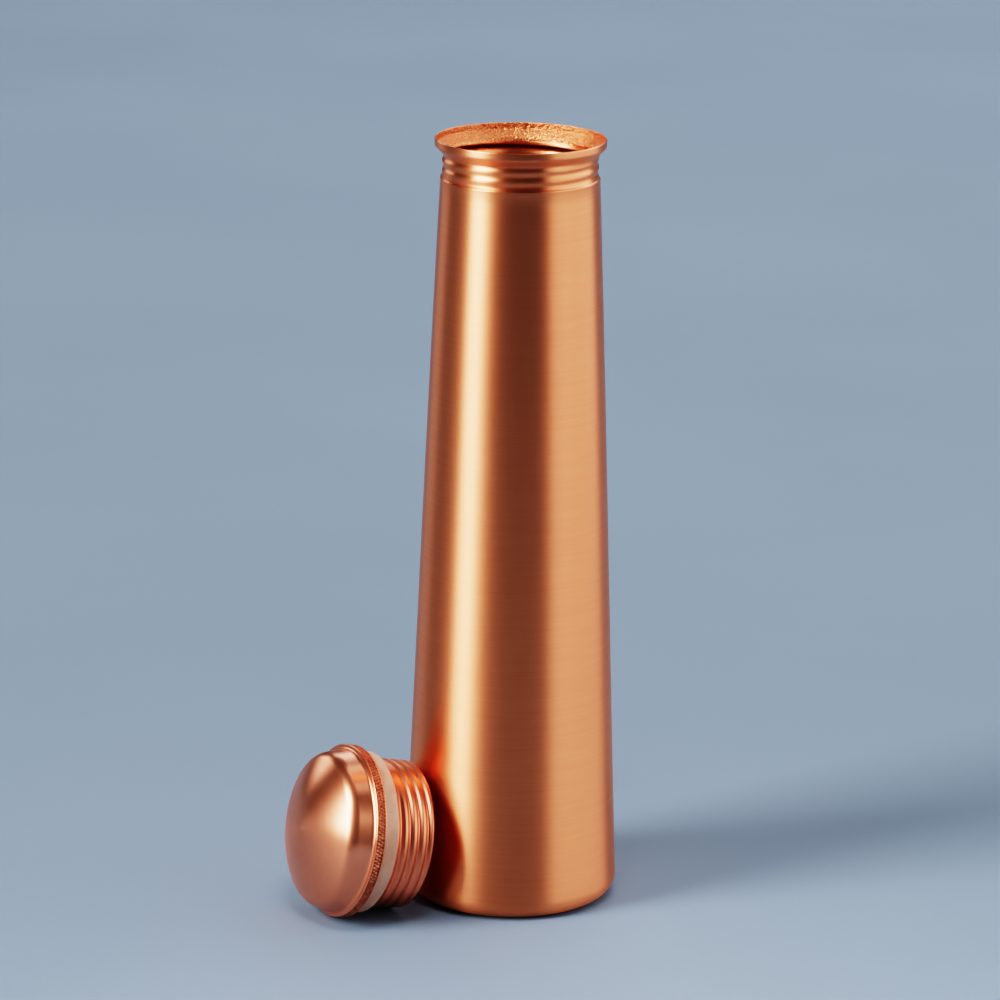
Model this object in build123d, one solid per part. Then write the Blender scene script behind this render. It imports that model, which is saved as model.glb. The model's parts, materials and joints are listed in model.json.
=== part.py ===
from build123d import *
import math
import os

# A spun copper water bottle standing on its foot, with its screw lid lying on its side next to it.
# Millimetres. The origin is the centre of the foot on the ground, +Z runs up the bottle's axis.

# ---- sheet metal -----------------------------------------------------------------------------
wall = 0.6                  # copper sheet of the bottle
lid_wall = 0.6              # copper sheet of the lid
thread_pitch = 3.6          # rise of the rolled right-hand thread in one turn

# ---- bottle body -----------------------------------------------------------------------------
bottle_height = 280.0
heel_radius = 7.0           # round edge between the foot and the wall
heel_wall_r = 38.8          # outer radius where the wall leaves the heel
heel_slope = 0.042          # how fast the radius shrinks there, mm per mm of height
shoulder_z = 266.0          # top of the tapering wall, bottom of the neck
shoulder_r = 28.45
shoulder_slope = 0.046
shoulder_step = 0.4         # height of the small step in to the neck
foot_hole_r = 28.6          # hole in the shell's underside, filled by the base plate

# ---- neck and lip ----------------------------------------------------------------------------
neck_r = 28.05              # outside of the neck
lip_r = 30.2                # outer edge of the lip
lip_height = 1.8            # upright edge above the flare
flare_radius = 2.0          # hollow bend from the neck into the flare
rim_radius = 2.0            # bend from the flare up into the lip
groove_depth = 0.85         # how far the rolled thread is pressed inwards
groove_width = 1.7
neck_thread_z = 266.6       # height of the thread's lower end
neck_thread_turns = 2.1
neck_thread_start_deg = 230.0

# ---- base ------------------------------------------------------------------------------------
plate_r = 28.3              # outside of the base plate's turned-down rim
plate_recess = 3.0          # height of the plate's underside over the ground
plate_rim_low = 0.4         # how far the rim's edge stays off the ground
braze_height = 1.6          # fillet of braze on the inside

# ---- lid, along its own axis from the lower edge of the grip band -------------------------------
band_r = 31.2               # knurled grip band, the widest part of the lid
band_height = 3.8
band_edge = 0.4             # small radius on the band's two edges
crimp_lip_r = 29.4          # inner edge of the rim that is folded under the plug's flange
knob_top = 19.8             # height of the crown
crown_radius = 51.0
knob_shoulder_radius = 6.0
knob_lean_deg = 12.0        # how far the knob's side leans in from upright
cove_radius = 1.4           # hollow bend from the knob's side into the flange
cove_end_r = 30.5           # where the cove runs out into the flat of the flange
plug_r = 26.9               # crest of the plug's thread
plug_groove_depth = 0.9
plug_groove_width = 2.0
plug_neck_r = 25.9          # plain neck that carries the gasket
plug_length = 21.8          # from the band's lower edge to the plug's closed end
plug_end_radius = 1.5
plug_thread_turns = 3.4
plug_thread_low = 1.6       # height of the thread's lower end over the plug's closed end
flange_r = 30.4             # plug's flange, gripped inside the crimped rim
gasket_r = 29.2
gasket_bore_r = 26.2
gasket_thickness = 5.6
body_gap = 0.3              # clearance between pieces that turn against each other

# ---- where the lid lies --------------------------------------------------------------------------
lid_heading_deg = 206.0     # direction from the bottle's axis to the lid, seen from above
lid_reach = 65.3            # distance of the band's lower edge from the bottle's axis
lid_tilt = math.degrees(math.atan2(band_r - plug_r, plug_length))  # it rests on band and plug


def arc(centre, radius, start_deg, end_deg):
    """Arc about centre from one angle to the other."""
    return CenterArc(centre, radius, start_deg, end_deg - start_deg)


def spin(edges):
    """Turn a closed outline in the XZ plane, given as edges in (radius, height), round the Z axis."""
    outline = make_face(Plane.XZ * Wire.combine(edges)[0])
    return revolve(outline, axis=Axis.Z)


def joined(edges):
    """Close a run of edges, whose ends follow on from each other, with straight lines."""
    closed = []
    for here, after in zip(edges, edges[1:] + edges[:1]):
        closed.append(here)
        if (here @ 1 - after @ 0).length > 1e-6:
            closed.append(Line(here @ 1, after @ 0))
    return closed


def backwards(edges):
    """The same run of edges, walked the other way."""
    return [Edge(e.wrapped).reversed() for e in reversed(edges)]


def helical_bar(root_r, tip_r, root_width, tip_width, start_z, turns, start_deg):
    """A right-hand helical bar with a tapered section, from root_r to tip_r."""
    path = Helix(thread_pitch, thread_pitch * turns, (root_r + tip_r) / 2)
    corners = [
        (root_r, -root_width / 2),
        (tip_r, -tip_width / 2),
        (tip_r, tip_width / 2),
        (root_r, root_width / 2),
    ]
    section = Plane.XZ * make_face(Polyline(*corners, close=True))
    bar = sweep(section, path=path, is_frenet=True)
    return Pos(0, 0, start_z) * Rot(0, 0, start_deg) * bar


def rolled_thread(tube, outer_r, sheet, depth, width, start_z, turns, start_deg):
    """Press a helical groove into a tube: it sinks outside and stands out as a ridge inside."""
    overlap = 0.3
    inner_r = outer_r - sheet
    ridge = helical_bar(inner_r + overlap, inner_r - depth, width + 1.2, width * 0.5,
                        start_z, turns, start_deg)
    groove = helical_bar(outer_r + overlap, outer_r - depth, width, width * 0.25,
                         start_z, turns, start_deg)
    return (tube + ridge) - groove


def wall_curve(inset):
    """The slightly waisted taper of the bottle's wall, from the heel up to the shoulder."""
    third = (shoulder_z - heel_radius) / 3
    return Bezier(
        (heel_wall_r - inset, heel_radius),
        (heel_wall_r - inset - heel_slope * third, heel_radius + third),
        (shoulder_r - inset + shoulder_slope * third, shoulder_z - third),
        (shoulder_r - inset, shoulder_z),
    )


def shell_side(inset):
    """Outline of the shell from the hole in its foot to its lip, moved inwards by inset."""
    heel_centre = (heel_wall_r - heel_radius, heel_radius)
    both_bends = flare_radius + rim_radius
    flare_turn = math.acos(1 - (lip_r - neck_r) / both_bends)
    flare_deg = math.degrees(flare_turn)
    flare_top = bottle_height - lip_height
    flare_low = flare_top - both_bends * math.sin(flare_turn)
    heel = arc(heel_centre, heel_radius - inset, -90, 0)
    flare_out = arc((neck_r + flare_radius, flare_low), flare_radius + inset, 180, 180 - flare_deg)
    flare_up = arc((lip_r - rim_radius, flare_top), rim_radius - inset, -flare_deg, 0)
    foot = Line((foot_hole_r, inset), heel @ 0)
    taper = wall_curve(inset)
    neck = Line((neck_r - inset, shoulder_z + shoulder_step), flare_out @ 0)
    lip = Line(flare_up @ 1, (lip_r - inset, bottle_height))
    return [foot, heel, taper, neck, flare_out, flare_up, lip]


def body_shell():
    """Spun shell: foot, heel, tapering wall, rolled neck thread and flared lip in one sheet."""
    outside = shell_side(0)
    inside = shell_side(wall)
    tube = spin(joined(outside + backwards(inside)))
    return rolled_thread(tube, neck_r, wall, groove_depth, groove_width,
                         neck_thread_z, neck_thread_turns, neck_thread_start_deg)


def base_plate():
    """Pressed disc with a turned-down rim, set into the hole in the shell's foot."""
    top = plate_recess + wall
    corners = [
        (0, plate_recess),
        (plate_r - wall, plate_recess),
        (plate_r - wall, plate_rim_low),
        (plate_r, plate_rim_low),
        (plate_r, top),
        (0, top),
    ]
    disc = spin([Polyline(*corners, close=True)])
    rim_edge = disc.edges().filter_by(GeomType.CIRCLE).group_by(Axis.Z)[-1]
    return fillet(rim_edge, wall * 0.9)


def base_braze():
    """Ring of braze that fills the gap round the base plate and runs up inside as a fillet."""
    corners = [
        (plate_r, plate_rim_low),
        (foot_hole_r, plate_rim_low),
        (foot_hole_r, wall),
        (plate_r + braze_height, wall),
        (plate_r, wall + braze_height),
    ]
    return spin([Polyline(*corners, close=True)])


def knob_side(inset):
    """Outline of the lid's knob from its crown to the flange, moved inwards by inset.

    The side is the straight line that touches both the shoulder and the cove. So the shoulder's centre
    lies on a line at right angles to the lean, and on a circle inside the crown.
    """
    lean = math.radians(knob_lean_deg)
    crown_z = knob_top - crown_radius
    cove_z = band_height + cove_radius
    inner_r = crown_radius - knob_shoulder_radius
    outwards = cove_end_r * math.cos(lean) + cove_z * math.sin(lean) - cove_radius - knob_shoulder_radius
    across = outwards - crown_z * math.sin(lean)
    upwards = crown_z * math.cos(lean) + math.sqrt(inner_r ** 2 - across ** 2)
    shoulder_x = outwards * math.cos(lean) - upwards * math.sin(lean)
    shoulder_centre_z = outwards * math.sin(lean) + upwards * math.cos(lean)
    leave = math.degrees(math.atan2(shoulder_centre_z - crown_z, shoulder_x))
    return [
        arc((0, crown_z), crown_radius - inset, 90, leave),
        arc((shoulder_x, shoulder_centre_z), knob_shoulder_radius - inset, leave, knob_lean_deg),
        arc((cove_end_r, cove_z), cove_radius + inset, 180 + knob_lean_deg, 270),
    ]


def lid_dome():
    """Pressed knob and flange whose rim is folded down and crimped under the plug's flange."""
    outside = knob_side(0)
    band = [
        arc((band_r - band_edge, band_height - band_edge), band_edge, 90, 0),
        arc((band_r - band_edge, band_edge), band_edge, 0, -90),
    ]
    fold = Polyline(
        (crimp_lip_r, 0),
        (crimp_lip_r, lid_wall),
        (band_r - lid_wall, lid_wall),
        (band_r - lid_wall, band_height - lid_wall),
    )
    inside = backwards(knob_side(lid_wall))
    return spin(joined(outside + band + [fold] + inside))


def lid_plug():
    """Spun cup with a flange at its mouth, a plain neck and a rolled thread down to its closed end."""
    flange_top = 2 * lid_wall
    thread_top = -(gasket_thickness + 2 * body_gap)
    end_centre = (plug_r - plug_end_radius, -plug_length + plug_end_radius)
    outer = [
        Polyline(
            (flange_r, flange_top),
            (flange_r, lid_wall),
            (plug_neck_r, lid_wall),
            (plug_neck_r, thread_top),
            (plug_r, thread_top),
        ),
        arc(end_centre, plug_end_radius, 0, -90),
    ]
    inner = [
        Line((0, -plug_length), (0, -plug_length + lid_wall)),
        arc(end_centre, plug_end_radius - lid_wall, -90, 0),
        Polyline(
            (plug_r - lid_wall, thread_top - lid_wall),
            (plug_neck_r - lid_wall, thread_top - lid_wall),
            (plug_neck_r - lid_wall, flange_top),
        ),
    ]
    cup = spin(joined(outer + inner))
    return rolled_thread(cup, plug_r, lid_wall, plug_groove_depth, plug_groove_width,
                         -plug_length + plug_thread_low, plug_thread_turns, 0)


def lid_gasket():
    """Thick silicone washer that sits under the lid's rim, on the plug's plain neck."""
    middle_z = -body_gap - gasket_thickness / 2
    ring = Cylinder(gasket_r, gasket_thickness) - Cylinder(gasket_bore_r, gasket_thickness)
    outer_edges = ring.edges().filter_by(GeomType.CIRCLE).group_by(SortBy.RADIUS)[-1]
    return Pos(0, 0, middle_z) * fillet(outer_edges, 0.5)


def lying_place():
    """Plane of the lying lid: its Z is the lid's axis, from the plug towards the knob."""
    heading = math.radians(lid_heading_deg)
    tilt = math.radians(lid_tilt)
    along = Vector(math.cos(heading) * math.cos(tilt), math.sin(heading) * math.cos(tilt), math.sin(tilt))
    centre = Vector(
        lid_reach * math.cos(heading),
        lid_reach * math.sin(heading),
        band_r * math.cos(tilt),
    )
    return Plane(origin=centre, z_dir=along)


standing = {
    "body_shell": body_shell,
    "base_plate": base_plate,
    "base_braze": base_braze,
}
lying = {
    "lid_dome": lid_dome,
    "lid_plug": lid_plug,
    "lid_gasket": lid_gasket,
}

os.makedirs("parts", exist_ok=True)
for node, make in standing.items():
    export_step(make(), "parts/" + node + ".step")
for node, make in lying.items():
    export_step(lying_place() * make(), "parts/" + node + ".step")
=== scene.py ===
import json
import math

import bpy
import numpy as np
from mathutils import Matrix, Vector


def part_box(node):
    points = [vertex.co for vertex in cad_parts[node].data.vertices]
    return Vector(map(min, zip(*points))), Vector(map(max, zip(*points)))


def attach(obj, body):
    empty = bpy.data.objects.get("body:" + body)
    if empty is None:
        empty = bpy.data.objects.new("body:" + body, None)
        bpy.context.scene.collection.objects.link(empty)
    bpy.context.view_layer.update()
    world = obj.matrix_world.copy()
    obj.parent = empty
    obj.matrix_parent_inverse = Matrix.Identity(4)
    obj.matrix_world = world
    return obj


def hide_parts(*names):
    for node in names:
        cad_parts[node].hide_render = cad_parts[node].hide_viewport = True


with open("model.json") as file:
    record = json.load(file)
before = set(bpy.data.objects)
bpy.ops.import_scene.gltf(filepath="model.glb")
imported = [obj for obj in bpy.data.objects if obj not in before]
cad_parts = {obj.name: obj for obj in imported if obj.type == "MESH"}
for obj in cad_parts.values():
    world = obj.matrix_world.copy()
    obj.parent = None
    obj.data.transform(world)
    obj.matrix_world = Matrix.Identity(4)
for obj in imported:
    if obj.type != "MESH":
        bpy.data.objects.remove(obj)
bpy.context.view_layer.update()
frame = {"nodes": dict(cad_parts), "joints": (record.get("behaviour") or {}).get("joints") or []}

# A tall spun copper water bottle, brushed round and round, with its pressed screw lid lying beside it.
# Outlines are in millimetres as (distance from the axis, height along the axis). The bottle's axis is
# the frame's Z. The lid's axis comes from the joint that the lid turns on.

MM = 0.001

# ---- sheet metal ---------------------------------------------------------------------------------
WALL = 0.6
PITCH = 3.6                          # rise of the rolled thread in one turn

# ---- bottle --------------------------------------------------------------------------------------
BOTTLE_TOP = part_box("body_shell")[1].z / MM
FOOT_HOLE_R = 28.6
HEEL_RADIUS = 7.0
HEEL_WALL_R = 38.8
HEEL_SLOPE = 0.042
SHOULDER_Z = 266.0
SHOULDER_R = 28.35
SHOULDER_SLOPE = 0.046
SHOULDER_BEAD = 0.12                 # how far the shoulder's edge stands proud of the wall
NECK_R = 27.8
LIP_R = 30.5
LIP_HEIGHT = 2.0                     # upright edge above the flare
FLARE_SLOPE = 45.0                   # degrees that the flare's cone leans out from upright
FLARE_RADIUS = 2.7                   # hollow bend from the neck into the flare
RIM_RADIUS = 1.4                     # bend from the flare up into the lip
NECK_THREAD = {"start_z": 266.7, "turns": 2.35, "start_deg": 200.0, "depth": 0.48, "half_width": 1.6}

# ---- lid, along its own axis from the lower edge of the grip band --------------------------------
BAND_R = 31.2
BAND_HEIGHT = 3.8
BAND_EDGE = 0.4
BAND_SEAT_R = 30.75                  # floor of the shallow channel that the knurling was rolled into
CRIMP_LIP_R = 29.4
KNOB_TOP = 19.8
CROWN_RADIUS = 51.0
KNOB_SHOULDER = 6.0
KNOB_LEAN = 12.0                     # degrees that the knob's side leans in from upright
COVE_RADIUS = 1.4                    # hollow bend from the knob's side into the flange
COVE_END_R = 30.5                    # where the cove runs out into the flat of the flange
PLUG_R = 26.9
PLUG_NECK_R = 25.9
PLUG_LENGTH = 21.8
PLUG_END_RADIUS = 1.5
PLUG_FLANGE_R = 30.4
PLUG_THREAD = {"start_z": -20.2, "turns": 3.4, "start_deg": 280.0, "depth": 0.9, "half_width": 1.45}
GASKET_R = 29.2
GASKET_BORE_R = 26.2
GASKET_TOP = -0.3
GASKET_THICKNESS = 5.6


# ==== camera and studio ===========================================================================

def make_camera():
    """A long lens, well back and a little above, looking down at the bottle."""
    data = bpy.data.cameras.new("studio_camera")
    data.lens = 164.83
    data.sensor_width = 36.0
    data.clip_start = 0.05
    data.clip_end = 50.0
    camera = bpy.data.objects.new("studio_camera", data)
    place = Vector((-0.00556, -1.5928, 0.58124))
    look_down = math.radians(90.0 - 15.2355)
    roll = math.radians(0.8303)
    camera.matrix_world = (
        Matrix.Translation(place) @ Matrix.Rotation(look_down, 4, "X") @ Matrix.Rotation(roll, 4, "Z")
    )
    bpy.context.scene.collection.objects.link(camera)
    bpy.context.scene.camera = camera


def towards(azimuth, distance, height):
    """A place round the bottle. Azimuth 0 is the camera's side and 90 is its right."""
    angle = math.radians(azimuth)
    return Vector((math.sin(angle) * distance, -math.cos(angle) * distance, height))


def soft_light(name, place, aim, width, height, radiance, tint):
    """A rectangular soft box that faces its aim. Radiance is how bright its front looks."""
    data = bpy.data.lights.new(name, "AREA")
    data.shape = "RECTANGLE"
    data.size = width
    data.size_y = height
    data.energy = radiance * math.pi * width * height
    data.color = tint
    light = bpy.data.objects.new(name, data)
    facing = (aim - place).to_track_quat("-Z", "Y")
    light.matrix_world = Matrix.Translation(place) @ facing.to_matrix().to_4x4()
    light.visible_camera = False
    bpy.context.scene.collection.objects.link(light)
    return light


def floor_sheet(name, low, high, material):
    """A flat rectangle of the floor between two corners."""
    grid_x, grid_y = np.meshgrid([low[0], high[0]], [low[1], high[1]])
    points = np.stack([grid_x, grid_y, np.zeros_like(grid_x)], axis=-1).reshape(-1, 3)
    mesh = bpy.data.meshes.new(name)
    mesh.from_pydata(points.tolist(), [], [(0, 1, 3, 2)])
    mesh.materials.append(material)
    sheet = bpy.data.objects.new(name, mesh)
    bpy.context.scene.collection.objects.link(sheet)
    return sheet


# ==== shapes ======================================================================================

def arc(centre, radius, start_deg, end_deg, count):
    """Points on a circle about centre, evenly turned from one angle to the other."""
    turn = np.radians(np.linspace(start_deg, end_deg, count))
    return np.stack([centre[0] + radius * np.cos(turn), centre[1] + radius * np.sin(turn)], axis=1)


def line(start, end, count):
    """Points evenly spaced on a straight line."""
    share = np.linspace(0.0, 1.0, count)[:, None]
    return (1 - share) * np.array(start, float) + share * np.array(end, float)


def bezier(a, b, c, d, count):
    """Points on a cubic curve that leaves a towards b and arrives at d from c."""
    t = np.linspace(0.0, 1.0, count)[:, None]
    a, b, c, d = (np.array(p, float) for p in (a, b, c, d))
    return (1 - t) ** 3 * a + 3 * (1 - t) ** 2 * t * b + 3 * (1 - t) * t ** 2 * c + t ** 3 * d


def joined(*runs):
    """One outline from runs that follow on from each other, without doubled points."""
    points = np.concatenate(runs)
    step = np.linalg.norm(np.diff(points, axis=0), axis=1)
    return points[np.concatenate([[True], step > 1e-5])]


def smooth_step(x):
    """0 below 0, 1 above 1, and a smooth rise between them."""
    x = np.clip(x, 0.0, 1.0)
    return x * x * (3 - 2 * x)


def rolled_groove(height, angle, start_z, turns, start_deg, depth, half_width):
    """How far a rolled thread sinks the sheet, by height and angle.

    The groove's middle climbs by one pitch in each turn. Across it the depth is the square of
    1 - x * x, where x is the distance from the middle over the half width. It fades in and out over
    a tenth of a turn at its two ends.
    """
    sunk = np.zeros(np.broadcast(height, angle).shape)
    first = (angle - math.radians(start_deg)) / (2 * math.pi) % 1.0
    for turn in range(math.ceil(turns) + 1):
        along = first + turn
        fade = smooth_step(along / 0.1) * smooth_step((turns - along) / 0.1)
        across = np.clip(np.abs(height - start_z - PITCH * along) / half_width, 0.0, 1.0)
        sunk = np.maximum(sunk, depth * fade * (1 - across ** 2) ** 2)
    return sunk


def lathe(name, outline, columns, place=None, ring=False, sink=None):
    """Turns an outline round its axis.

    Row i, column j is the outline's point i, turned by j / columns of a circle. sink(height, angle)
    moves a point towards the axis. A ring's outline is closed. Any other outline starts and ends on
    the axis, where its rows are single points. Walked along the outline, the outside is on the right.
    Each point also keeps its place on the sheet: across, across, and the way along the outline, in mm.
    """
    angle = np.arange(columns) * 2 * math.pi / columns
    radius = outline[:, :1] - (sink(outline[:, 1:], angle[None, :]) if sink else 0.0)
    radius = np.broadcast_to(radius, (len(outline), columns))
    height = np.broadcast_to(outline[:, 1:], radius.shape)
    points = np.stack([radius * np.cos(angle), radius * np.sin(angle), height], axis=-1)
    rows = len(outline)
    index = np.arange(rows * columns).reshape(rows, columns)
    step = np.linalg.norm(np.diff(outline, axis=0, append=outline[:1]), axis=1)
    along = np.concatenate([[0.0], np.cumsum(step)])
    sheet = points.copy()
    sheet[..., 2] = along[:rows, None]
    if ring:
        index = np.concatenate([index, index[:1]])
        flat, flat_sheet = points.reshape(-1, 3), sheet.reshape(-1, 3)
    else:
        index = index - (columns - 1)
        index[0] = 0
        index[-1] = (rows - 2) * columns + 1
        flat, flat_sheet = (
            np.concatenate([p[0, :1], p[1:-1].reshape(-1, 3), p[-1, :1]]) for p in (points, sheet)
        )
    index = np.concatenate([index, index[:, :1]], axis=1)
    corners = np.stack([index[:-1, :-1], index[:-1, 1:], index[1:, 1:], index[1:, :-1]], axis=-1)
    u = np.linspace(0.0, 1.0, columns + 1)
    uv_grid = np.stack(np.meshgrid(u, along[: len(index)] / step.sum()), axis=-1)
    uvs = np.stack([uv_grid[:-1, :-1], uv_grid[:-1, 1:], uv_grid[1:, 1:], uv_grid[1:, :-1]], axis=2)
    faces, face_uvs, face_rows = [], [], []
    for row in range(len(corners)):
        keep = [0, 1, 2, 3]
        if not ring and row == 0:
            keep = [0, 2, 3]
        elif not ring and row == len(corners) - 1:
            keep = [0, 1, 2]
        faces.append(corners[row][:, keep])
        face_uvs.append(uvs[row][:, keep])
        face_rows.append(np.full(columns, row))
    return mesh_piece(name, flat, flat_sheet, faces, face_uvs, place), np.concatenate(face_rows)


def mesh_piece(name, points, sheet, faces, face_uvs, place):
    """Puts points in millimetres and faces into a mesh, with each point's place on the sheet."""
    sizes = np.concatenate([np.full(len(f), f.shape[1]) for f in faces])
    loops = np.concatenate([f.ravel() for f in faces]).astype(np.int32)
    starts = np.concatenate([[0], np.cumsum(sizes)[:-1]]).astype(np.int32)
    mesh = bpy.data.meshes.new(name)
    mesh.vertices.add(len(points))
    mesh.loops.add(len(loops))
    mesh.polygons.add(len(sizes))
    mesh.loops.foreach_set("vertex_index", loops)
    mesh.polygons.foreach_set("loop_start", starts)
    placed = points * MM
    if place is not None:
        turn = np.array(place.to_3x3())
        placed = placed @ turn.T + np.array(place.translation)
    mesh.vertices.foreach_set("co", placed.astype(np.float32).ravel())
    mesh.update(calc_edges=True)
    uv = mesh.uv_layers.new(name="round_and_along")
    all_uvs = np.concatenate([u.reshape(-1, 2) for u in face_uvs])
    uv.data.foreach_set("uv", all_uvs.astype(np.float32).ravel())
    own = mesh.attributes.new("sheet_mm", "FLOAT_VECTOR", "POINT")
    own.data.foreach_set("vector", sheet.astype(np.float32).ravel())
    mesh.polygons.foreach_set("use_smooth", np.ones(len(sizes), bool))
    mesh.set_sharp_from_angle(angle=math.radians(50))
    mesh.validate()
    piece = bpy.data.objects.new(name, mesh)
    bpy.context.scene.collection.objects.link(piece)
    return piece


def shell_side(inset):
    """The shell's side from the hole in its foot to its lip, moved towards the axis by inset."""
    heel_centre = (HEEL_WALL_R - HEEL_RADIUS, HEEL_RADIUS)
    third = (SHOULDER_Z - HEEL_RADIUS) / 3
    slope = math.radians(FLARE_SLOPE)
    both_bends = FLARE_RADIUS + RIM_RADIUS
    cone_width = LIP_R - NECK_R - both_bends * (1 - math.cos(slope))
    flare_top = BOTTLE_TOP - LIP_HEIGHT
    flare_low = flare_top - both_bends * math.sin(slope) - cone_width / math.tan(slope)
    bead = SHOULDER_R - inset + SHOULDER_BEAD
    bead_low, neck_low = SHOULDER_Z - 0.5, SHOULDER_Z + 0.45
    return joined(
        line((FOOT_HOLE_R, inset), (heel_centre[0], inset), 5),
        arc(heel_centre, HEEL_RADIUS - inset, -90, 0, 18),
        bezier(
            (HEEL_WALL_R - inset, HEEL_RADIUS),
            (HEEL_WALL_R - inset - HEEL_SLOPE * third, HEEL_RADIUS + third),
            (SHOULDER_R - inset + SHOULDER_SLOPE * third, SHOULDER_Z - third),
            (SHOULDER_R - inset, bead_low),
            56,
        ),
        bezier(
            (SHOULDER_R - inset, bead_low),
            (bead, SHOULDER_Z - 0.2),
            (bead, SHOULDER_Z + 0.1),
            (NECK_R - inset, neck_low),
            9,
        ),
        line((NECK_R - inset, neck_low), (NECK_R - inset, flare_low), 52),
        arc((NECK_R + FLARE_RADIUS, flare_low), FLARE_RADIUS + inset, 180, 180 - FLARE_SLOPE, 14),
        arc((LIP_R - RIM_RADIUS, flare_top), RIM_RADIUS - inset, -FLARE_SLOPE, 0, 8),
        line((LIP_R - inset, flare_top), (LIP_R - inset, BOTTLE_TOP - WALL / 2), 5),
    )


def bottle_shell():
    """The shell in one sheet: its side, the rounded edge of its lip, and the same side inside."""
    outside = shell_side(0.0)
    inside = shell_side(WALL)[::-1]
    edge = arc((LIP_R - WALL / 2, BOTTLE_TOP - WALL / 2), WALL / 2, 0, 180, 9)
    outline = joined(outside, edge, inside)

    def sink(height, angle):
        return rolled_groove(height, angle, **NECK_THREAD)

    piece, face_rows = lathe("bottle_shell", outline, 256, ring=True, sink=sink)
    half_of_edge = len(edge) // 2
    inner = face_rows >= len(outside) + half_of_edge
    piece.data.polygons.foreach_set("material_index", inner.astype(np.int32))
    return piece


def lid_place():
    """The lid's own axes: Z from the plug towards the knob, with the origin at the band's lower edge."""
    turn = next(j for j in frame["joints"] if j["name"] == "lid_turn")
    axis = Vector(turn["axis"]).normalized()
    side = Vector((0.0, 0.0, 1.0)).cross(axis).normalized()
    up = axis.cross(side)
    columns = Matrix((side, up, axis)).transposed()
    return Matrix.Translation(Vector(turn["pos_m"])) @ columns.to_4x4()


def knob_side(inset):
    """The knob from its crown down to the top of the grip band, moved inwards by inset.

    Its side is the straight line that touches both the shoulder and the cove. So the shoulder's centre
    lies on a line at right angles to the lean, and on a circle inside the crown.
    """
    lean = math.radians(KNOB_LEAN)
    crown_z = KNOB_TOP - CROWN_RADIUS
    cove_z = BAND_HEIGHT + COVE_RADIUS
    outwards = COVE_END_R * math.cos(lean) + cove_z * math.sin(lean) - COVE_RADIUS - KNOB_SHOULDER
    across = outwards - crown_z * math.sin(lean)
    upwards = crown_z * math.cos(lean) + math.sqrt((CROWN_RADIUS - KNOB_SHOULDER) ** 2 - across ** 2)
    shoulder_x = outwards * math.cos(lean) - upwards * math.sin(lean)
    shoulder_z = outwards * math.sin(lean) + upwards * math.cos(lean)
    leave = math.degrees(math.atan2(shoulder_z - crown_z, shoulder_x))
    return joined(
        arc((0, crown_z), CROWN_RADIUS - inset, 90, leave, 34),
        arc((shoulder_x, shoulder_z), KNOB_SHOULDER - inset, leave, KNOB_LEAN, 18),
        arc((COVE_END_R, cove_z), COVE_RADIUS + inset, 180 + KNOB_LEAN, 270, 16),
    )


def lid_knob(place):
    """Knob, flange and the rim that is folded down and crimped under the plug's flange, in one sheet."""
    edge_r = BAND_R - BAND_EDGE
    ease = 0.1                       # the fold's slack inside, and the bevel of its free edge
    channel = BAND_EDGE + 0.15       # where the shallow channel for the knurling starts
    rim_inside_r = BAND_R - WALL - ease
    outline = joined(
        knob_side(WALL),
        line((rim_inside_r, BAND_HEIGHT - WALL), (rim_inside_r, WALL), 3),
        line((CRIMP_LIP_R, WALL), (CRIMP_LIP_R, ease), 2),
        line((CRIMP_LIP_R + ease, 0.0), (edge_r, 0.0), 3),
        arc((edge_r, BAND_EDGE), BAND_EDGE, -90, 0, 6),
        line((BAND_SEAT_R, channel), (BAND_SEAT_R, BAND_HEIGHT - channel), 3),
        arc((edge_r, BAND_HEIGHT - BAND_EDGE), BAND_EDGE, 0, 90, 6),
        knob_side(0.0)[::-1],
    )
    return lathe("lid_knob", outline, 256, place)[0]


def grip_band(place):
    """The knurled band: a ring whose outer face carries rows of small diamonds.

    Two sets of slanting grooves cross. Each is a triangle wave of (diamonds round +- half the diamonds
    up), and a point sinks by the knurl's depth times the square of the larger wave. The real diamonds
    are finer than these.
    """
    lap = 0.05                       # how far the band reaches past the ends of the rounded edges
    low, high = BAND_EDGE - lap, BAND_HEIGHT - BAND_EDGE + lap
    seat_r, face_r = BAND_SEAT_R - 0.1, BAND_R - 0.04
    diamonds_round = 150
    diamonds_up = 2.5
    depth = 0.34
    edge_fade = 0.15
    outline = joined(
        line((seat_r, low), (face_r, low), 2),
        line((face_r, low), (face_r, high), 30),
        line((face_r, high), (seat_r, high), 2),
    )

    def sink(height, angle):
        up = diamonds_up * (height - low) / (high - low)
        rounds = diamonds_round * angle / (2 * math.pi)
        wave = [np.abs(2 * ((rounds + side * up) % 1.0) - 1) for side in (0.5, -0.5)]
        cut = np.maximum(wave[0], wave[1]) ** 2
        edge = smooth_step((height - low) / edge_fade) * smooth_step((high - height) / edge_fade)
        return np.where(np.isclose(height, low) | np.isclose(height, high), 0.0, depth * cut * edge)

    return lathe("grip_band", outline, 1260, place, ring=True, sink=sink)[0]


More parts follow.
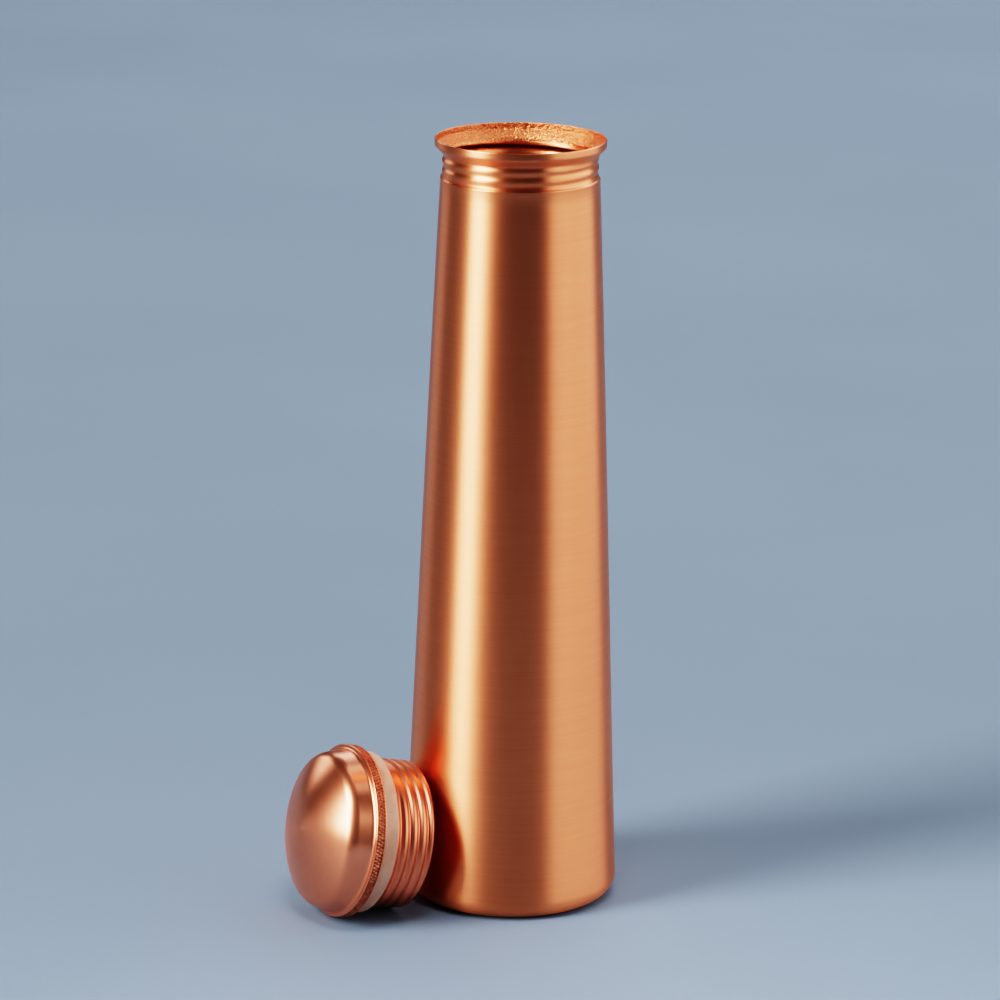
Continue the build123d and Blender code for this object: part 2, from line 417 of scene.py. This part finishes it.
def lid_plug(place):
    """Spun cup: closed end, rolled thread, plain neck under the gasket, and the flange at its mouth."""
    thread_top = GASKET_TOP * 2 - GASKET_THICKNESS
    bend_low, bend_top = thread_top - 0.5, thread_top + 0.3
    end_centre = (PLUG_R - PLUG_END_RADIUS, -PLUG_LENGTH + PLUG_END_RADIUS)

    def side(inset, top):
        return joined(
            line((0.0, -PLUG_LENGTH + inset), (end_centre[0], -PLUG_LENGTH + inset), 12),
            arc(end_centre, PLUG_END_RADIUS - inset, -90, 0, 10),
            line((PLUG_R - inset, end_centre[1]), (PLUG_R - inset, bend_low), 100),
            bezier(
                (PLUG_R - inset, bend_low),
                (PLUG_R - inset, thread_top),
                (PLUG_NECK_R - inset + 0.3, thread_top),
                (PLUG_NECK_R - inset, bend_top),
                8,
            ),
            line((PLUG_NECK_R - inset, bend_top), (PLUG_NECK_R - inset, top), 6),
        )

    outline = joined(
        side(0.0, WALL),
        line((PLUG_FLANGE_R, WALL), (PLUG_FLANGE_R, 2 * WALL), 2),
        side(WALL, 2 * WALL)[::-1],
    )

    def sink(height, angle):
        return rolled_groove(height, angle, **PLUG_THREAD)

    return lathe("lid_plug_cup", outline, 288, place, sink=sink)[0]


def gasket_ring(place):
    """Moulded washer with a softly rounded section."""
    low, soft = GASKET_TOP - GASKET_THICKNESS, 0.55
    outline = joined(
        line((GASKET_BORE_R, GASKET_TOP), (GASKET_BORE_R, low), 8),
        line((GASKET_BORE_R, low), (GASKET_R - soft, low), 5),
        arc((GASKET_R - soft, low + soft), soft, -90, 0, 8),
        line((GASKET_R, low + soft), (GASKET_R, GASKET_TOP - soft), 10),
        arc((GASKET_R - soft, GASKET_TOP - soft), soft, 0, 90, 8),
        line((GASKET_R - soft, GASKET_TOP), (GASKET_BORE_R, GASKET_TOP), 5),
    )
    return lathe("sealing_washer", outline[:-1], 224, place, ring=True)[0]


# ==== materials ===================================================================================

def colour(code):
    """Linear colour, with full alpha, from an sRGB hex value."""
    parts = [int(code[i:i + 2], 16) / 255 for i in (1, 3, 5)]
    return [c / 12.92 if c <= 0.04045 else ((c + 0.055) / 1.055) ** 2.4 for c in parts] + [1.0]


def add(tree, kind, settings, **properties):
    """Adds one node. Settings maps an input's name or number to a value or to the output feeding it.

    Some nodes repeat their input names. A colour Mix node takes its share at 0 and its two colours at
    6 and 7, and gives the mixed colour at output 2. A Math node's inputs are numbered from 0.
    """
    made = tree.nodes.new(kind)
    for name, value in properties.items():
        setattr(made, name, value)
    for name, value in settings.items():
        socket = made.inputs[name]
        if isinstance(value, bpy.types.NodeSocket):
            tree.links.new(value, socket)
        else:
            socket.default_value = value
    return made


def new_material(name):
    """An empty node material with its output."""
    material = bpy.data.materials.new(name)
    material.use_nodes = True
    tree = material.node_tree
    tree.nodes.clear()
    output = tree.nodes.new("ShaderNodeOutputMaterial")
    return material, tree, output


def turned_lines(tree, source, spacing_mm, length_mm, detail):
    """Noise stretched round the axis: lines spacing_mm apart that run about length_mm round it."""
    place = add(tree, "ShaderNodeMapping", {"Vector": source, "Scale": (
        1 / length_mm, 1 / length_mm, 1 / spacing_mm)})
    noise = add(tree, "ShaderNodeTexNoise", {
        "Vector": place.outputs[0], "Scale": 1.0, "Detail": detail, "Roughness": 0.6})
    return noise.outputs["Fac"]


def copper(name, look):
    """Copper sheet. Look holds its colours, its lines, its roughness, and its pits if it has any.

    Fine and broad lines are added up and darken the sheet in streaks, and patches of tarnish go over
    them. The fine lines also vary the roughness and stand in the bump, with the pits on top.
    """
    material, tree, output = new_material(name)
    in_metres = add(tree, "ShaderNodeTexCoord", {}).outputs["Object"]
    if look.get("on_sheet", True):
        place = add(tree, "ShaderNodeAttribute", {}, attribute_name="sheet_mm").outputs["Vector"]
    else:
        place = add(tree, "ShaderNodeVectorMath", {0: in_metres, 3: 1 / MM}, operation="SCALE").outputs[0]
    fine = turned_lines(tree, place, look["fine_mm"], look["line_mm"], 3.0)
    broad_stretch = 2.2              # the broad lines are this many times as long as the fine ones
    broad = turned_lines(tree, place, look["broad_mm"], look["line_mm"] * broad_stretch, 2.0)
    patch = add(tree, "ShaderNodeTexNoise", {
        "Vector": place, "Scale": 1 / look["patch_mm"], "Detail": 3.0, "Roughness": 0.55}).outputs["Fac"]

    broad_share = look.get("broad", 1.0)
    middle = 0.5 + 0.5 * broad_share
    streaks = add(tree, "ShaderNodeMath", {0: broad, 1: broad_share, 2: fine},
                  operation="MULTIPLY_ADD").outputs[0]
    shade = add(tree, "ShaderNodeMapRange", {
        "Value": streaks, "From Min": middle - 0.25, "From Max": middle + 0.25,
        "To Min": 0.0, "To Max": look["streak"]}).outputs[0]
    streaked = add(tree, "ShaderNodeMix", {
        0: shade, 6: colour(look["colour"]), 7: colour(look["dark"])}, data_type="RGBA").outputs[2]
    tarnish = add(tree, "ShaderNodeMapRange", {
        "Value": patch, "From Min": 0.42, "From Max": 0.68,
        "To Min": 0.0, "To Max": look["tarnish"]}).outputs[0]
    base = add(tree, "ShaderNodeMix", {
        0: tarnish, 6: streaked, 7: colour(look["tarnish_colour"])}, data_type="RGBA").outputs[2]
    rough = add(tree, "ShaderNodeMapRange", {
        "Value": fine, "From Min": 0.3, "From Max": 0.7,
        "To Min": look["rough"] - look["rough_vary"],
        "To Max": look["rough"] + look["rough_vary"]}).outputs[0]

    height = add(tree, "ShaderNodeMath", {0: fine, 1: look["fine_depth"]}, operation="MULTIPLY").outputs[0]
    if "pits" in look:
        pit_fade = 2.0               # mm above pit_from in which the pits grow to their full depth
        grain = add(tree, "ShaderNodeTexNoise", {
            "Vector": place, "Scale": 1 / look["pit_mm"], "Detail": 2.0, "Roughness": 0.7}).outputs["Fac"]
        up = add(tree, "ShaderNodeSeparateXYZ", {0: in_metres}).outputs[2]
        near_mouth = add(tree, "ShaderNodeMapRange", {
            "Value": up, "From Min": look["pit_from"] * MM, "From Max": (look["pit_from"] + pit_fade) * MM,
            "To Min": look["pit_low"], "To Max": 1.0}).outputs[0]
        pitted = add(tree, "ShaderNodeMath", {0: grain, 1: near_mouth}, operation="MULTIPLY").outputs[0]
        height = add(tree, "ShaderNodeMath", {0: pitted, 1: look["pits"], 2: height},
                     operation="MULTIPLY_ADD").outputs[0]
    bump = add(tree, "ShaderNodeBump", {"Strength": 1.0, "Distance": MM, "Height": height})
    shader = add(tree, "ShaderNodeBsdfPrincipled", {
        "Base Color": base, "Metallic": 1.0, "Roughness": rough, "Normal": bump.outputs[0]})
    if "brushed" in look:
        round_the_axis = add(tree, "ShaderNodeTangent", {}, direction_type="UV_MAP", uv_map="round_and_along")
        shader.inputs["Anisotropic"].default_value = look["brushed"]
        shader.inputs["Anisotropic Rotation"].default_value = 0.25
        tree.links.new(round_the_axis.outputs[0], shader.inputs["Tangent"])
    tree.links.new(shader.outputs[0], output.inputs[0])
    return material


def silicone():
    """Silicone rubber, moulded: beige, matt and slightly see-through, so light glows inside it."""
    material, tree, output = new_material("moulded_silicone")
    place = add(tree, "ShaderNodeAttribute", {}, attribute_name="sheet_mm").outputs["Vector"]
    cloud = add(tree, "ShaderNodeTexNoise", {"Vector": place, "Scale": 0.12, "Detail": 2.0}).outputs["Fac"]
    skin = add(tree, "ShaderNodeTexNoise", {"Vector": place, "Scale": 2.5, "Detail": 3.0}).outputs["Fac"]
    share = add(tree, "ShaderNodeMapRange", {"Value": cloud, "From Min": 0.35, "From Max": 0.65}).outputs[0]
    base = add(tree, "ShaderNodeMix", {
        0: share, 6: colour("#BE9782"), 7: colour("#AE8470")}, data_type="RGBA").outputs[2]
    rough = add(tree, "ShaderNodeMapRange", {
        "Value": skin, "From Min": 0.3, "From Max": 0.7, "To Min": 0.42, "To Max": 0.56}).outputs[0]
    bump = add(tree, "ShaderNodeBump", {"Strength": 0.4, "Distance": 0.05 * MM, "Height": skin})
    shader = add(tree, "ShaderNodeBsdfPrincipled", {
        "Base Color": base, "Roughness": rough, "IOR": 1.41, "Normal": bump.outputs[0],
        "Subsurface Weight": 0.6, "Subsurface Radius": (1.0, 0.6, 0.4), "Subsurface Scale": 1.5 * MM})
    tree.links.new(shader.outputs[0], output.inputs[0])
    return material


def paper():
    """Painted studio board: matt, blue-grey, with the faintest mottle."""
    material, tree, output = new_material("studio_board")
    place = add(tree, "ShaderNodeTexCoord", {}).outputs["Object"]
    cloud = add(tree, "ShaderNodeTexNoise", {"Vector": place, "Scale": 2.5, "Detail": 4.0}).outputs["Fac"]
    fibre = add(tree, "ShaderNodeTexNoise", {"Vector": place, "Scale": 900.0, "Detail": 2.0}).outputs["Fac"]
    share = add(tree, "ShaderNodeMapRange", {"Value": cloud, "From Min": 0.35, "From Max": 0.65}).outputs[0]
    base = add(tree, "ShaderNodeMix", {
        0: share, 6: colour("#5F6E80"), 7: colour("#637284")}, data_type="RGBA").outputs[2]
    bump = add(tree, "ShaderNodeBump", {"Strength": 0.15, "Distance": 0.1 * MM, "Height": fibre})
    shader = add(tree, "ShaderNodeBsdfPrincipled", {
        "Base Color": base, "Roughness": 0.75, "Normal": bump.outputs[0]})
    tree.links.new(shader.outputs[0], output.inputs[0])
    return material


# Looks of the copper. fine_mm and broad_mm are the spacing of the lines and line_mm is their length.
# streak and tarnish are how much of the dark colour and the tarnish shows, patch_mm is the size of the
# tarnished patches, and fine_depth and pits are heights in mm. pit_from is a height on the bottle, with
# pits of only pit_low of their depth below it. brushed draws the highlights out along the axis.

# Spun and brushed: a belt held against the turning bottle leaves fine lines round it, so every
# highlight is drawn out up and down. The real lines are about 0.1 mm apart, too fine to show, and
# are drawn 0.35 mm apart.
BRUSHED = {
    "colour": "#EE946C", "dark": "#E28058", "streak": 0.5, "tarnish": 0.25, "tarnish_colour": "#DE8662",
    "fine_mm": 0.35, "broad_mm": 1.6, "broad": 0.3, "line_mm": 30.0, "patch_mm": 45.0,
    "rough": 0.40, "rough_vary": 0.04, "fine_depth": 0.014, "brushed": 0.9,
}
# Left as it was spun: no lacquer and no brushing, darker, and pitted by the roller at the mouth.
SPUN = {
    "colour": "#EA8E66", "dark": "#C46A44", "streak": 0.6, "tarnish": 0.4, "tarnish_colour": "#BC6442",
    "fine_mm": 0.6, "broad_mm": 2.2, "line_mm": 18.0, "patch_mm": 20.0, "rough": 0.32, "rough_vary": 0.05,
    "fine_depth": 0.03, "pits": 0.7, "pit_mm": 0.9, "pit_from": 273.0, "pit_low": 0.12,
}
# Pressed and satin polished on a soft wheel: an even, silky surface with soft-edged highlights.
SATIN = {
    "colour": "#EE9778", "dark": "#E28464", "streak": 0.3, "tarnish": 0.25, "tarnish_colour": "#DA8060",
    "fine_mm": 0.3, "broad_mm": 1.2, "broad": 0.3, "line_mm": 14.0, "patch_mm": 16.0,
    "rough": 0.30, "rough_vary": 0.02, "fine_depth": 0.004, "brushed": 0.4,
}
# Rolled thread of the plug: left as the rollers rubbed it, so it is less polished than the knob and
# its highlights are softer.
BURNISHED = {
    "colour": "#EC9274", "dark": "#D87A5C", "streak": 0.4, "tarnish": 0.35, "tarnish_colour": "#CA7452",
    "fine_mm": 0.35, "broad_mm": 1.0, "broad": 0.4, "line_mm": 16.0, "patch_mm": 12.0,
    "rough": 0.42, "rough_vary": 0.03, "fine_depth": 0.006, "brushed": 0.3,
}
# Knurled rim: small rolled diamonds. Its copper is darker, with a fine dark stipple and small dark
# patches that are partly tarnish and partly painted shade of the recesses between the real, finer
# diamonds. They follow noise, not the modelled valleys.
KNURLED = {
    "colour": "#CE7E62", "dark": "#8A4A36", "streak": 0.8, "tarnish": 0.7, "tarnish_colour": "#6E3A2C",
    "fine_mm": 0.7, "broad_mm": 1.2, "line_mm": 1.2, "patch_mm": 1.4, "rough": 0.40, "rough_vary": 0.04,
    "fine_depth": 0.02,
}
# Underside: sheet as it was pressed, with faint turning lines.
PRESSED = {
    "colour": "#E08C66", "dark": "#C67250", "streak": 0.6, "tarnish": 0.6, "tarnish_colour": "#B26848",
    "fine_mm": 0.5, "broad_mm": 1.5, "line_mm": 12.0, "patch_mm": 10.0, "rough": 0.42, "rough_vary": 0.05,
    "fine_depth": 0.01, "on_sheet": False,
}
# Braze: yellower than the copper, and it froze with a rippled skin.
BRAZE = {
    "colour": "#D9AC62", "dark": "#B98A48", "streak": 0.6, "tarnish": 0.6, "tarnish_colour": "#9A7448",
    "fine_mm": 1.2, "broad_mm": 2.5, "line_mm": 2.5, "patch_mm": 6.0, "rough": 0.36, "rough_vary": 0.06,
    "fine_depth": 0.12, "on_sheet": False,
}


# ==== putting it together =========================================================================

make_camera()

board = paper()
# The board that the bottle stands on ends in front of it. Past that edge the metal sees only the dark
# room, and a second sheet carries the floor on for the other views.
floor_sheet("floor_near", (-6.0, -0.75), (6.0, 6.0), board)
far_floor = floor_sheet("floor_front", (-6.0, -6.0), (6.0, -0.75), board)
far_floor.visible_glossy = False

aim = Vector((0.0, 0.0, 0.14))
soft_light("key_softbox", towards(-62.5, 4.0, 2.5), aim, 1.6, 3.6, 23.0, (1.0, 0.98, 0.94))
soft_light("right_panel", towards(84, 3.2, 1.28), aim, 5.7, 3.1, 2.35, (1.0, 0.99, 0.97))
soft_light("left_back", Vector((-1.9, 1.9, 0.95)), aim, 1.1, 0.8, 2.4, (1.0, 0.98, 0.96))
soft_light("overhead", Vector((0.5, 0.5, 1.9)), aim, 1.6, 1.2, 1.4, (0.96, 0.98, 1.0))
back_aim = Vector((0.6, 2.3, 0.0))
soft_light("backdrop_light", Vector((0.8, 2.6, 1.7)), back_aim, 4.0, 1.6, 2.4, (0.93, 0.97, 1.0))
# A narrow lamp over the ground in front. The metal mirrors its pool on the board, but not the lamp.
pool_aim = Vector((0.05, -0.34, 0.0))
pool = soft_light("front_pool", Vector((0.05, -0.45, 1.1)), pool_aim, 0.5, 0.3, 3.0, (1.0, 0.97, 0.95))
pool.data.spread = math.radians(50)
pool.visible_glossy = False

world = bpy.data.worlds.new("dark_room")
bpy.context.scene.world = world
world.use_nodes = True
world.node_tree.nodes["Background"].inputs["Color"].default_value = (0.9, 0.95, 1.0, 1.0)
world.node_tree.nodes["Background"].inputs["Strength"].default_value = 0.05

view = bpy.context.scene.view_settings
view.view_transform = "Filmic"
view.look = "Very High Contrast"

brushed = copper("brushed_copper", BRUSHED)
spun = copper("spun_copper_inside", SPUN)
satin = copper("satin_copper", SATIN)
burnished = copper("burnished_copper", BURNISHED)
knurled = copper("knurled_copper", KNURLED)
pressed = copper("pressed_copper", PRESSED)
braze_metal = copper("brass_braze", BRAZE)
rubber = silicone()

shell = bottle_shell()
shell.data.materials.append(brushed)
shell.data.materials.append(spun)
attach(shell, "bottle")
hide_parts("body_shell")

lying = lid_place()
knob = lid_knob(lying)
knob.data.materials.append(satin)
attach(knob, "lid")
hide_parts("lid_dome")

band = grip_band(lying)
band.data.materials.append(knurled)
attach(band, "lid")
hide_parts("lid_dome")

cup = lid_plug(lying)
cup.data.materials.append(burnished)
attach(cup, "lid")
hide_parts("lid_plug")

washer = gasket_ring(lying)
washer.data.materials.append(rubber)
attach(washer, "washer")
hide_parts("lid_gasket")

for node, material in (("base_plate", pressed), ("base_braze", braze_metal)):
    for slot in frame["nodes"][node].material_slots:
        slot.material = material
